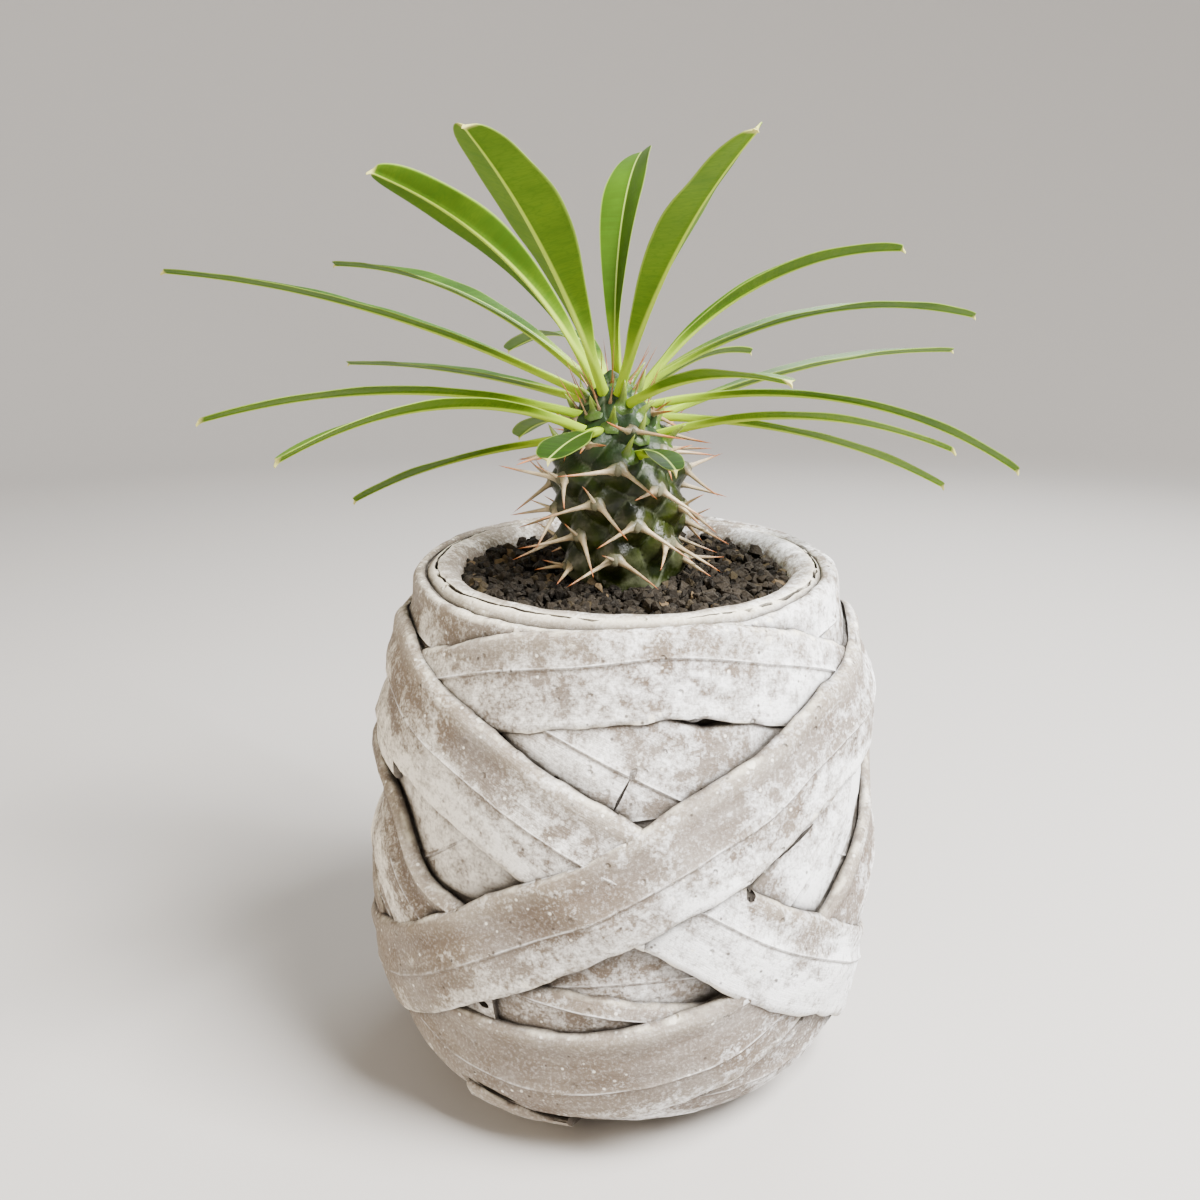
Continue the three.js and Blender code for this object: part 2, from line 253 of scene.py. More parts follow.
def addNoise(place, scale, detail=3.0, roughness=0.55, distortion=0.0):
    inputs = {"Vector": place, "Scale": scale, "Detail": detail,
              "Roughness": roughness, "Distortion": distortion}
    return addNode("TexNoise", inputs).outputs["Fac"]


def addCells(place, scale, feature="F1"):
    return addNode("TexVoronoi", {"Vector": place, "Scale": scale}, feature=feature).outputs


def addNooks(reach):  # how open the surface is within this many millimetres
    inputs = {"Distance": reach * mm}
    return addNode("AmbientOcclusion", inputs, samples=6, only_local=True).outputs["AO"]


def remap(value, low, high, out=(0.0, 1.0)):
    inputs = {"Value": value, "From Min": low, "From Max": high, "To Min": out[0], "To Max": out[1]}
    return addNode("MapRange", inputs, clamp=True).outputs["Result"]


def reckon(operation, result, *others):
    for other in others:
        result = addNode("Math", {0: result, 1: other}, operation=operation).outputs[0]
    return result


def times(*values):
    return reckon("MULTIPLY", *values)


def plus(*values):
    return reckon("ADD", *values)


def distance(value):  # from zero, to either side
    return addNode("Math", {0: value}, operation="ABSOLUTE").outputs[0]


def mix(share, *colours):
    a, b = (c if isinstance(c, bpy.types.NodeSocket) else (*c, 1) for c in colours)
    return addNode("Mix", {0: share, 6: a, 7: b}, data_type="RGBA").outputs[2]


def layCoats(colour, paints, coats):  # each coat is its share and the name of its colour
    for share, name in coats:
        colour = mix(share, colour, paints[name])
    return colour


def readValue(name):
    return addNode("Attribute", attribute_name=name).outputs["Fac"]


def splitUp(value):
    return addNode("SeparateXYZ", {"Vector": value}).outputs[:]


def readMap(name):  # the map, then its two parts
    found = addNode("UVMap", uv_map=name).outputs["UV"]
    return found, *splitUp(found)[:2]


def stretch(place, scale):
    return addNode("Mapping", {"Vector": place, "Scale": scale}).outputs["Vector"]


def startMaterial(name):
    global tree
    material = bpy.data.materials.new(name)
    material.use_nodes = True
    tree = material.node_tree
    return material, tree.nodes["Principled BSDF"], addNode("TexCoord").outputs["Object"]


def finishShader(shader, colour, roughness, gloss, *bumps):
    feed(shader, {"Base Color": colour, "Roughness": roughness, "Specular IOR Level": gloss})
    normal = {}
    for height, reach, strength in bumps:  # the reach is in millimetres
        inputs = {"Height": height, "Distance": reach * mm, "Strength": strength, **normal}
        normal = {"Normal": addNode("Bump", inputs).outputs["Normal"]}
    feed(shader, normal)


# The pot is a turned core with straps laid over it, each settling into the ones below.
pot = {
    "wallHeights": [-14, 0, 4, 12, 24, 40, 56, 72, 90, 104, 116, 125, 130, 142],
    "wallRadii": [22, 43, 50, 58, 62, 64.8, 65.4, 64.6, 62.8, 60.8, 57.9, 56.4, 56.0, 54],
    "coreDepth": 5.5,  # the cast core lies this far inside the outermost strap
    "coreSunk": 0.8,  # and the bare core between the straps this much further
    "coreTop": 127,
    "root": 3.8,  # straps reach this far into the core
    "spread": 1.3,  # lower straps lie this much deeper than their lift says
    "step": 2.8,  # how far a strap stands above the ones it crosses
    "settle": 0.85,  # the share of a hollow or a bump below that it follows
    "sink": 1.8,  # how far a strap may settle into a hollow
    "ride": 1.6,  # and how far the topmost ones may rise over the others
    "rideFrom": (3.2, 4.6),  # the lifts between which a strap begins to do so
    "steps": 280,
    "edgeRound": 1.6,
    "rib": 0.8,
    "vein": 0.28,  # height of the fine line along each rib
    "rimTilt": 1.5,  # the rim stands this much higher at the back, and lower in front
    "curlHeight": 129.4,  # above this the collar curls inwards
    "curlRadius": 2.2,
    "strapWave": (0.5, 0.3),  # slow and quick waves of the straps
    "ragged": (0.7, 0.25),  # how far their edges stray, slow and quick
    "roughness": (0.3, 0.14),  # uneven casting, broad and fine
    "cavity": [(0, 10), (36, 10), (44, 16), (52, 34), (54, 56), (52.5, 80), (48, 102), (42, 118),
               (40.4, 127), (40.9, 129), (42, 130.6), (43.8, 131.7), (45.8, 132), (47.6, 131.5),
               (48.8, 130.4), (49.4, 128.8)],
    "slot": (47.5, 131.9, 0.55, 2.2),  # radius, crest, half width and depth of the groove round the lip
    "dents": [  # angle, height, how far each reaches, depth
        (-92, 104.5, 28, 5.5, 2.8),
        (-92, 89, 30, 6, -1.2),
        (-88, 76, 26, 8, 2.6),
        (96, 70, 30, 16, 0.9),
    ],
    "pits": [  # angle, height, half sizes along, up and in, lean, how far out from the surface
        (-59, 88, 2.2, 1.1, 5, 20, 0),
        (-30, 14.9, 6, 0.8, 3, 14, 0.4),
        (36, 78.1, 8.5, 0.65, 2.2, -21, -0.3),
        (-48, 86.4, 0.8, 5.5, 2.6, -61, -1.5),
        (0.4, 61.4, 1.3, 0.8, 2, 20, 0),
        (-30.4, 41.6, 1.5, 1.1, 3, 10, 0),
        (14.1, 110.5, 1.1, 0.7, 2, 0, 0),
        (24.5, 71.0, 1.3, 1.6, 3, 0, -0.5),
        (-1.0, 96.0, 0.4, 5.6, 0.8, 26, 0.25),
        (0.9, 99.8, 0.75, 2.0, 0.7, 30, 0.25),
        (118, 84, 0.8, 3.4, 3, 60, 0),
        (-132, 58, 1.2, 1.0, 3, -15, 0),
        (168, 70, 0.6, 3.2, 3, -50, 0),
    ],
    # Straps, deepest first. The middle of one lies at height + tilt * cos(angle - peak).
    "straps": [  # height, tilt, peak, width, lift, rib, and what sets it apart
        (106, 22, 165, 42, 3.0, 0.6, {}),
        (40, 20, 8, 44, 2.3, 0.3, {"chalk": -0.035}),
        (10, 5, 40, 30, 3.6, 0.6, {"chalk": -0.02}),
        (122, 3, 150, 22, 2.4, 0.5, {}),
        (44, 50, 125, 30, 2.2, 0.5, {"chalk": 0.02, "span": (48, 220)}),
        (74.3, 38, 50, 20, 2.7, 0.65, {"span": (-235, -20)}),
        (83, 34, -60, 34, 3.0, 0.48, {"span": (-28, 220)}),
        (45, 10, -100, 34, 4.2, 0.4, {"span": (-150, -52)}),
        (26.5, 50, -95, 28, 5.0, 0.6, {"span": (-215, -28), "roll": 1.1, "bends": ((-46, 9, -5),)}),
        (69, 50, 130, 30, 3.6, 0.5, {"chalk": 0.015, "span": (21, 225)}),
        (92.5, 29, 4, 23, 4, 0.66, {"chalk": -0.018}),
        (28.5, 14, -40, 16, 3.6, 0.75, {"chalk": -0.03, "span": (-45, 24), "roll": 0.4}),
        (60.1, 36, 157, 27, 4.6, 0.38, {"chalk": -0.062, "roll": 0.6}),
        (89, 10, -100, 24, 4.3, 0.5, {"span": (-150, -61)}),
        (58.3, 42, -65, 28, 4.7, 0.62, {"chalk": 0.008, "span": (-2, 188), "roll": 0.3}),
        (77.5, 34, -93, 28, 4.9, 0.5, {"span": (-199, 3), "roll": 0.5,
                                       "bends": ((-96, 20, -5.5), (-62, 16, -1.2))}),
        (64, 38, 74, 26, 5.5, 0.46, {"chalk": -0.044, "roll": 0.4,
                                     "bends": ((94, 20, 7.5), (28, 10, -1.5))}),
        (4, 16, -100, 10, 5.5, 0.5, {"chalk": -0.02, "span": (-38, -14)}),
    ],
}
strapSizes = ("height", "tilt", "peak", "width", "lift", "rib")
straps = [{**dict(zip(strapSizes, row)), **row[-1]} for row in pot["straps"]]
for strap in straps:
    strap["lift"] = pot["coreDepth"] - (pot["coreDepth"] - strap["lift"]) * pot["spread"]
wallRadius = smoothCurve(pot["wallHeights"], pot["wallRadii"])


def strapLow(strap, angle):  # height of the strap's lower edge
    turn = np.radians(angle)
    peak = math.radians(strap["peak"])
    slow, quick = pot["strapWave"]
    wave = slow * np.sin(5 * turn + 3 * peak) + quick * np.sin(9 * turn)
    for middle, reach, rise in strap.get("bends", ()):
        wave = wave + rise * hump(wrap(angle - middle), reach)
    return strap["height"] - strap["width"] / 2 + wave + strap["tilt"] * np.cos(turn - peak)


def strapTop(strap, up):  # how far the strap's face stands off, up millimetres above its lower edge
    width, rib = strap["width"], strap["rib"] * strap["width"]
    crown = np.where(up < rib, up / rib, (width - up) / (width - rib))
    edge = np.clip(np.minimum(up, width - up), 0, pot["edgeRound"])
    fall = pot["edgeRound"] - np.sqrt(pot["edgeRound"] ** 2 - (pot["edgeRound"] - edge) ** 2)
    # A fine vein with a groove beside it, and an upper edge that rolls out before a hollow.
    vein = pot["vein"] * (hump(up - rib, 0.45) - 0.6 * hump(up - rib + 1.1, 0.5))
    roll = hump(width - up - 2.8, 1.6) - 0.7 * hump(width - up - 7, 2.4)
    return strap["lift"] + pot["rib"] * np.clip(crown, 0, 1) - fall + vein + strap.get("roll", 0.15) * roll


def strapOver(strap, angle):  # the angle within the strap's own turn
    if "span" not in strap:
        return angle
    return (angle - strap["span"][0] + 8) % 360 + strap["span"][0] - 8


def soften(field, reach):  # blurs a field over angle (which wraps round) and height
    for step in reach:
        field = (np.roll(field, step, 0) + 2 * field + np.roll(field, -step, 0)) / 4
        above = np.concatenate([field[:, step:], np.repeat(field[:, -1:], step, 1)], 1)
        below = np.concatenate([np.repeat(field[:, :1], step, 1), field[:, :-step]], 1)
        field = (above + 2 * field + below) / 4
    return field


gridLow, gridHigh = -20, 150  # fields over the wall are kept for each degree and millimetre
gridAngle, gridHeight = np.meshgrid(
    np.arange(-180, 180, 1.0), np.arange(gridLow, gridHigh, 1.0), indexing="ij")


def readGrid(field, angle, height):
    a = (np.asarray(angle) + 180) % 360
    h = np.clip(np.asarray(height) - gridLow, 0, field.shape[1] - 1.001)
    i, j = a.astype(int) % 360, h.astype(int)
    s, t = a - np.floor(a), h - j
    k = (i + 1) % 360
    near = field[i, j] * (1 - t) + field[i, j + 1] * t
    return near * (1 - s) + (field[k, j] * (1 - t) + field[k, j + 1] * t) * s


def laySags():
    # Each strap settles a little into the ones below it, and rides up where they are thick.
    bed = np.zeros_like(gridAngle)
    for strap in straps:
        under = soften(bed, (5, 4, 3, 2, 1))
        most = pot["ride"] * fadeIn(strap["lift"], *pot["rideFrom"])
        wanted = pot["settle"] * (under + pot["step"] - strap["lift"])
        strap["sag"] = np.clip(wanted, -pot["sink"], most)
        over = strapOver(strap, gridAngle)
        up = gridHeight - strapLow(strap, over)
        inside = (up >= 0) & (up <= strap["width"])
        if "span" in strap:
            inside &= (over >= strap["span"][0]) & (over <= strap["span"][1])
        top = strapTop(strap, np.clip(up, 0, strap["width"])) + strap["sag"]
        bed = np.where(inside, np.maximum(bed, top), bed)
    return bed


def strapSection(strap):  # its rows crowd at both edges and at the rib
    width, rib, bevel = strap["width"], strap["rib"] * strap["width"], pot["edgeRound"]
    ups = [0, 0.15, 0.5, bevel, 2.4]
    ups += list(np.linspace(2.4, rib - 1.9, max(2, round((rib - 4) / 2.2)))[1:])
    ups += [rib - 1.5, rib - 1.1, rib - 0.7, rib - 0.35, rib, rib + 0.35, rib + 0.9]
    ups += list(np.linspace(rib + 0.9, width - 2.4, max(2, round((width - rib - 3) / 1.5)))[1:])
    ups += [width - bevel, width - 0.9, width - 0.5, width - 0.15, width]
    face = [(float(strapTop(strap, np.array(up))), up) for up in ups]
    lip, notch = strap["lift"] - 2.0, strap["lift"] - 2.4  # the edge is undercut, which leaves a crack
    back = [(lip, width - 0.1), (notch, width - 1.2), (-pot["root"], width - 1.6), (-pot["root"], width / 2),
            (-pot["root"], 1.6), (notch, 1.2), (lip, 0.1)]
    return face + back


def makeStrap(index, strap):
    form = bmesh.new()
    axisDistance = 60  # the section is turned at this distance, and draped afterwards
    undercut, fullBend = 2.6, 2.2
    low, high = strap.get("span", (0, 360))
    steps = round(pot["steps"] * (high - low) / 360)
    spinProfile(form, [(axisDistance + off, up) for off, up in strapSection(strap)], high - low, steps, True)
    if "span" in strap:
        bmesh.ops.holes_fill(form, edges=[e for e in form.edges if e.is_boundary], sides=0)
    closeForm(form, 1e-4)
    bmesh.ops.triangulate(form, faces=[f for f in form.faces if len(f.verts) > 4])
    mesh = makeMesh(f"strap{index}", form)
    flat = getVectors(mesh.vertices, "co")
    turn = np.degrees(np.arctan2(flat[:, 1], flat[:, 0]))
    if "span" in strap:
        turn = np.where(turn % 360 > 359.99, 0, turn % 360)
    angle = low + turn
    off = np.hypot(flat[:, 0], flat[:, 1]) - axisDistance
    up = flat[:, 2]
    ragged = np.zeros(len(flat))
    for i in np.nonzero(np.minimum(up, strap["width"] - up) < 0.6)[0]:
        around = outward(angle[i]) * 9 + Vector((0, 0, index + (1 if up[i] < 1 else 2)))
        slow, quick = pot["ragged"]
        ragged[i] = slow * noise.noise(around) + quick * noise.noise(around * 3.1)
    height = strapLow(strap, angle) + up + ragged
    free = off > -pot["root"] + 0.1
    radius = wallRadius(np.minimum(height, pot["curlHeight"])) - pot["coreDepth"] + off
    radius += np.where(free, readGrid(strap["sag"], angle, height), 0)
    over = np.maximum(height - pot["curlHeight"], 0) / pot["curlRadius"]
    depth = np.clip(off - strap["lift"] + undercut, 0, undercut) / undercut
    bend = np.minimum(over, fullBend)
    radius -= pot["curlRadius"] * (1 - np.cos(bend)) * (0.3 + 0.7 * depth)
    rise = pot["curlRadius"] * np.sin(bend) * (0.35 + 0.65 * depth)
    height = np.minimum(height, pot["curlHeight"]) + rise
    a = np.radians(angle)
    setPlaces(mesh, np.stack([radius * np.sin(a), -radius * np.cos(a), height], 1))
    return mesh


def makePit(spot, bed):
    angle, height, along, up, deep, lean, out = spot
    form = bmesh.new()
    bmesh.ops.create_icosphere(form, subdivisions=3, radius=1)
    for vert in form.verts:
        rough = 1 + 0.25 * noise.noise(vert.co * 2 + Vector((angle, 0, 0)))
        vert.co = Vector((vert.co.x * along, vert.co.y * deep, vert.co.z * up)) * rough * mm
    turn = Matrix.Rotation(math.radians(angle), 4, "Z") @ Matrix.Rotation(math.radians(lean), 4, "Y")
    reach = float(wallRadius(height)) - pot["coreDepth"] + float(readGrid(bed, angle, height)) + out
    place = Matrix.Translation((outward(angle) * reach + Vector((0, 0, height))) * mm)
    bmesh.ops.transform(form, matrix=place @ turn, verts=form.verts)
    return addObject("pit", makeMesh("pit", form))


def makeSlot():  # the groove between the rounded lip and the collar, deeper in places
    reach, crest, half, depth = pot["slot"]
    points = [(reach - half, crest + 2), (reach - half * 0.5, crest - depth),
              (reach + half * 0.5, crest - depth), (reach + half, crest + 2)]
    mesh = turnedMesh("slot", points, 200)
    places = getPlaces(mesh)
    for i, (x, y, z) in enumerate(places):
        around = Vector((x, y, 0)) / 11
        stray = 1 + 0.016 * noise.noise(around) + 0.006 * noise.noise(around * 4)
        patchy = max(0, min(1, 3 * noise.noise(around * 3.4) + 0.35))
        stray *= 1 - 0.016 * max(0, -x / reach)
        patchy *= 1 - hump(math.degrees(math.atan2(x, -y)) - 4, 24)  # closed up in front
        floor = crest - depth * (0.12 + 0.88 * patchy)
        places[i] = (x * stray, y * stray, z if z > crest else floor)
    setPlaces(mesh, places)
    return addObject("slot", mesh)


def joinParts(piece, parts, operation):
    group = bpy.data.collections.new("parts")
    for part in parts:
        group.objects.link(part)
    cut = piece.modifiers.new("join", "BOOLEAN")
    cut.operation = operation
    cut.operand_type = "COLLECTION"
    cut.collection = group
    cut.solver = "MANIFOLD"
    done = piece.evaluated_get(bpy.context.evaluated_depsgraph_get())
    piece.data = bpy.data.meshes.new_from_object(done)
    piece.modifiers.clear()
    for part in parts:
        bpy.data.objects.remove(part)
    bpy.data.collections.remove(group)


def tipRim(places):  # the rim is not quite level
    share = fadeIn(places[:, 2], 104, 130) * places[:, 1] / 45
    places[:, 2] += pot["rimTilt"] * share
    return places


def roughenPot(mesh):
    places, normals = getPlaces(mesh), getVectors(mesh.vertices, "normal")
    broad, fine = pot["roughness"]
    shift = [broad * noise.noise(Vector(p) / 9) + fine * noise.noise(Vector(p) / 3.1) for p in places]
    outside = fadeIn(radiiOf(places), 47, 52)
    for angle, height, wide, high, depth in pot["dents"]:
        share = hump(wrap(anglesOf(places) - angle), wide) * hump(places[:, 2] - height, high)
        places[:, :2] *= 1 - (share * outside * depth / 60)[:, None]
    underside = (places[:, 2] < 0.05) & (normals[:, 2] < -0.9)
    moved = places + normals * np.where(underside, 0, shift)[:, None]
    moved[:, 2] = np.maximum(moved[:, 2], 0)
    setPlaces(mesh, tipRim(moved))


def measureWall(places):  # angle, height and how far each place stands off the core
    height = places[:, 2]
    return anglesOf(places), height, radiiOf(places) - wallRadius(height) + pot["coreDepth"]


def markStraps(mesh, bed):
    # Each face belongs to the strap whose skin it lies on, and its map runs along and across that strap.
    places, count = getPlaces(mesh), len(mesh.polygons)
    angle, height, off = measureWall(places)
    faceAngle, faceHeight, faceOff = measureWall(getVectors(mesh.polygons, "center") / mm)
    owner, best = np.full(count, -1), np.full(count, 1.6)
    for i, strap in enumerate(straps):
        over = strapOver(strap, faceAngle)
        up = faceHeight - strapLow(strap, over)
        top = strapTop(strap, np.clip(up, 0, strap["width"]))
        top += readGrid(strap["sag"], faceAngle, faceHeight)
        miss = np.abs(faceOff - top) + np.clip(-up, 0, None) + np.clip(up - strap["width"], 0, None)
        if "span" in strap:
            miss += np.where((over > strap["span"][0] - 1) & (over < strap["span"][1] + 1), 0, 9)
        closer = miss < best
        owner[closer], best[closer] = i, miss[closer]
    vert = getNumbers(mesh.loops, "vertex_index")
    face = np.repeat(np.arange(count), getNumbers(mesh.polygons, "loop_total"))
    run, across, inward, chalky = (np.zeros(len(vert)) for _ in range(4))
    bare = {"height": 60, "tilt": 0, "peak": 0, "width": 30, "rib": -2}
    for i in range(-1, len(straps)):
        mine = owner[face] == i
        v, f = vert[mine], face[mine]
        strap = straps[i] if i >= 0 else bare
        turn = strapOver(strap, faceAngle[f]) + wrap(angle[v] - faceAngle[f])
        up = height[v] - strapLow(strap, turn)
        run[mine] = turn / 9 + i * 7.3  # nine degrees of the wall are a centimetre
        across[mine] = (up - strap["rib"] * strap["width"]) / 10
        inward[mine] = np.clip(np.minimum(up, strap["width"] - up), 0, 20) / 10 if i >= 0 else 1
        chalky[mine] = strap.get("chalk", 0)
    setMap(mesh, "strapMap", run, across)
    setMap(mesh, "strapTone", inward, chalky)
    outside = (height < 129) & (off > -3)
    near, wide = soften(bed, (1, 1)), soften(bed, (4, 3, 2, 1))
    # How deep a place lies below the straps around it; the cement paints shade there.
    hollow = np.clip((readGrid(near, angle, height) - off - 2.5) / 1.4, 0, 1)
    # How far a place stands proud of the straps around it; the cement paints a highlight there.
    proud = np.clip((off - readGrid(wide, angle, height)) / 1.6, 0, 1)
    setAttribute(mesh, "hollow", np.where(outside, hollow, 0))
    groove = hump(radiiOf(places) - pot["slot"][0], 1.3)
    setAttribute(mesh, "groove", np.where(height > 128.5, groove, 0))
    setAttribute(mesh, "proud", np.where(outside, proud, 0.3))


cement = {
    "base": ((0.160, 0.122, 0.094), (0.270, 0.240, 0.212)),
    "brown": (0.115, 0.085, 0.064),
    "tan": (0.33, 0.26, 0.165),
    "chalk": (0.93, 0.94, 0.955),
    "warmChalk": (0.88, 0.82, 0.69),
    "chalkRange": (0.458, 0.578),  # raise both for a barer pot
    "cream": (0.90, 0.83, 0.66),
    "paleGrain": (0.90, 0.885, 0.86),
    "darkGrain": (0.11, 0.088, 0.07),
    "paleSpeck": (0.92, 0.89, 0.80),
    "darkSpeck": (0.07, 0.055, 0.045),
    "flake": (0.93, 0.89, 0.76),
    # Painted shade in the broad recesses, in a drab brown.
    "drab": (0.13, 0.11, 0.092),
    # Painted shade, near-black, for cracks and hollows.
    "creviceShade": (0.022, 0.018, 0.014),
    "nooks": (14, 4.2),  # how wide the nooks are that get painted shade, broad and narrow
}


def makeCement():
    material, shader, place = startMaterial("cement")
    laid, _, across = readMap("strapMap")
    inward, chalky = readMap("strapTone")[1:]
    side, _, height = splitUp(place)
    cloud = addNoise(place, 42, 4, 0.6)
    patch = addNoise(stretch(laid, (0.55, 1.3, 1)), 1.0, 5, 0.6, 0.4)
    blotch = plus(times(addNoise(place, 62, 5, 0.6, 0.4), 0.55), times(patch, 0.45))
    mottle = addNoise(place, 330, 5, 0.7)
    grain = addNoise(place, 1300, 3, 0.7)
    streak = addNoise(stretch(laid, (0.55, 4, 1)), 1.0, 4, 0.6, 0.4)
    fibre = addNoise(stretch(laid, (1.3, 26, 1)), 1.0, 3, 0.6)
    worn = addNoise(place, 170, 4, 0.65)
    colour = layCoats(mix(remap(cloud, 0.36, 0.64), *cement["base"]), cement, [
        (remap(streak, 0.42, 0.70, (0, 0.6)), "brown"),
        # Tan on the left side, partly a warm stain and partly painted warm reflected light.
        (times(remap(side, -0.07, 0.02, (0.55, 0)), remap(blotch, 0.35, 0.7)), "tan"),
    ])
    # Chalk gathers below each rib and on the straps set chalkier. More is painted on to the right as painted
    # light, and less towards the foot as painted shade.
    lean = plus(times(blotch, 0.56), times(mottle, 0.30), times(grain, 0.14), chalky,
                remap(side, -0.05, 0.06, (-0.01, 0.055)), remap(across, -1.0, 1.1, (0.035, -0.055)),
                remap(height, 0.0, 0.06, (-0.05, 0)))
    # The chalk turns warmer on the left, partly warmer chalk and partly painted warm reflected light.
    haze = mix(remap(side, -0.06, 0.01, (0.9, 0)), cement["chalk"], cement["warmChalk"])
    colour = mix(remap(lean, *cement["chalkRange"], (0, 0.98)), colour, haze)
    vein, besideVein = distance(across), distance(plus(across, 0.07))
    # Cream along the worn strap edges and round the lip's groove, partly wear and partly painted highlight;
    # what stands proud gets it as painted highlight.
    wornAndLit = times(remap(inward, 0.03, 0.14, (1, 0)), remap(worn, 0.42, 0.60))
    wornAndLit = reckon("MAXIMUM", wornAndLit, times(readValue("proud"), 0.2), readValue("groove"))
    specks, flakes, pits = (addCells(place, scale) for scale in (420, 190, 260))
    speck = remap(specks["Distance"], 0.12, 0.20, (1, 0))
    paleChance, darkChance, _ = splitUp(specks["Color"])
    paleChance = plus(paleChance, remap(inward, 0.10, 0.45, (0.26, 0)))  # more of them near the edges
    uneven = plus(flakes["Distance"], times(addNoise(place, 700, 3, 0.7), 0.3))
    flake = times(remap(uneven, 0.34, 0.38, (1, 0)), remap(inward, 0.15, 0.4, (1, 0)),
                  remap(splitUp(flakes["Color"])[0], 0.66, 0.70), 0.8)
    nook, corner = (addNooks(reach) for reach in cement["nooks"])
    # Painted shade: the narrow nooks and the deep hollows are darkened nearly to black.
    creviceShade = reckon("MAXIMUM", remap(corner, 0.52, 0.90, (1, 0)), times(readValue("hollow"), 0.95))
    creviceShade = times(creviceShade, remap(addNoise(place, 210, 4, 0.7), 0.25, 0.6, (0.6, 1)), 0.95)
    colour = layCoats(colour, cement, [
        (remap(mottle, 0.32, 0.46, (0.35, 0)), "brown"),
        (times(remap(vein, 0.012, 0.036, (1, 0)), remap(worn, 0.42, 0.60), 0.5), "chalk"),
        # Brown beside each vein is painted shade in the groove there.
        (times(remap(besideVein, 0.012, 0.04, (1, 0)), remap(worn, 0.66, 0.45), 0.5), "brown"),
        (times(wornAndLit, 0.75), "cream"),
        (remap(grain, 0.5, 0.70, (0, 0.25)), "paleGrain"),
        (remap(grain, 0.5, 0.30, (0, 0.28)), "darkGrain"),
        (times(speck, remap(paleChance, 0.78, 0.82), 0.85), "paleSpeck"),
        (times(speck, remap(darkChance, 0.86, 0.90), 0.85), "darkSpeck"),
        (flake, "flake"),
        # Painted shade in the broad nooks.
        (remap(nook, 0.50, 0.98, (0.85, 0)), "drab"),
        (creviceShade, "creviceShade"),
    ])
    pit = times(remap(pits["Distance"], 0.08, 0.2, (-1, 0)),
                remap(splitUp(pits["Color"])[0], 0.70, 0.74))
    finishShader(shader, colour, remap(mottle, 0.3, 0.7, (0.80, 0.97)), 0.2, (blotch, 1.4, 0.5),
                 (fibre, 0.4, 0.3), (mottle, 0.5, 0.45), (grain, 0.2, 0.4), (pit, 0.6, 0.9))
    return material


def makePot():
    bed = laySags()
    sunk = pot["coreDepth"] + pot["coreSunk"]
    outer = [(float(wallRadius(h)) - sunk, h) for h in np.linspace(0, pot["coreTop"], 44)]
    core = turnedMesh("castPot", outer + pot["cavity"][::-1] + [(0, 0)], pot["steps"])
    piece = addObject("castPot", core)
    joinParts(piece, [addObject(f"strap{i}", makeStrap(i, strap)) for i, strap in enumerate(straps)], "UNION")
    form = bmesh.new()  # a block below the floor cuts the foot level
    bmesh.ops.create_cube(form, size=0.2)
    bmesh.ops.translate(form, vec=(0, 0, -0.1), verts=form.verts)
    ground = addObject("ground", makeMesh("ground", form))
    joinParts(piece, [ground, makeSlot()] + [makePit(spot, bed) for spot in pot["pits"]], "DIFFERENCE")
    markStraps(piece.data, bed)
    roughenPot(piece.data)
    shadeSmooth(piece.data, 38)
    finishPiece(piece, makeCement(), "cement", "pot")


gravel = {
    "bedTop": 126.7,
    "reach": 41,
    "rimGap": 0.3,
    "trunkRadius": 12.2,
    "kinds": 14,
    "corners": 15,
    "layers": [(720, 126.9, 2.1), (640, 127.9, 1.95), (330, 128.8, 1.45)],  # count, height, half size
    "base": ((0.005, 0.0038, 0.0026), (0.023, 0.018, 0.0125)),
    "ochre": (0.05, 0.037, 0.018),
    "tan": (0.11, 0.075, 0.04),
    "fleck": (0.10, 0.092, 0.082),
}


def makeGrainKind():
    form = bmesh.new()
    for _ in range(gravel["corners"]):
        spot = Vector([random.gauss(0, 1) for _ in range(3)]).normalized()
        flat = Vector((spot.x, spot.y * random.uniform(0.7, 0.9), spot.z * 0.72))
        form.verts.new(flat * random.uniform(0.85, 1.1))
    hull = bmesh.ops.convex_hull(form, input=form.verts)
    bmesh.ops.delete(form, geom=hull["geom_interior"], context="VERTS")
    return makeMesh("grain", form)


